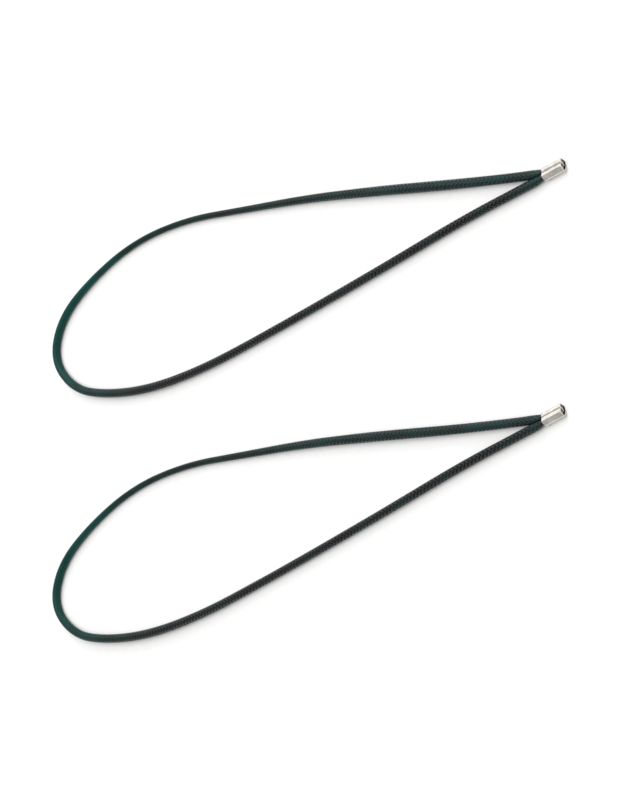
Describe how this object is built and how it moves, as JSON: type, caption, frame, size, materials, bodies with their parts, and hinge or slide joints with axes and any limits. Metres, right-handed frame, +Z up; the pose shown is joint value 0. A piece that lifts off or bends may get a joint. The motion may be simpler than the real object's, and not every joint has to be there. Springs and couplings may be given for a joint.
{
  "type": "elastic loop pair",
  "caption": "Flat-lying elastic tension loops for climbing skins, braided shock cord with rubber threads inside, each closed by a crimped six-sided metal ferrule.",
  "frame": {"origin": "middle of the pair's box, on the surface it lies on", "axes": "+X along the loops towards the ferrules, +Y across the pair towards loop_a, +Z up"},
  "size_m": [0.3609, 0.2257, 0.004],
  "materials": {
    "braided_cover": "dark green and black polyester braid, satin",
    "rubber_thread": "raw grey latex rubber",
    "ferrule": "nickel-plated steel sheet, bright, slightly warm"
  },
  "bodies": {
    "loop_a": {"loop_a_braided_cover": "braided_cover", "loop_a_rubber_thread_1": "rubber_thread", "loop_a_rubber_thread_2": "rubber_thread", "loop_a_rubber_thread_3": "rubber_thread", "loop_a_rubber_thread_4": "rubber_thread", "loop_a_rubber_thread_5": "rubber_thread", "loop_a_rubber_thread_6": "rubber_thread", "loop_a_rubber_thread_7": "rubber_thread", "loop_a_ferrule": "ferrule"},
    "loop_b": {"loop_b_braided_cover": "braided_cover", "loop_b_rubber_thread_1": "rubber_thread", "loop_b_rubber_thread_2": "rubber_thread", "loop_b_rubber_thread_3": "rubber_thread", "loop_b_rubber_thread_4": "rubber_thread", "loop_b_rubber_thread_5": "rubber_thread", "loop_b_rubber_thread_6": "rubber_thread", "loop_b_rubber_thread_7": "rubber_thread", "loop_b_ferrule": "ferrule"}
  },
  "joints": [
    {"name": "loop_b_lift", "type": "slide", "parent": "loop_a", "child": "loop_b", "axis": [0, 0, 1], "range_m": [0, 0.1]}
  ]
}
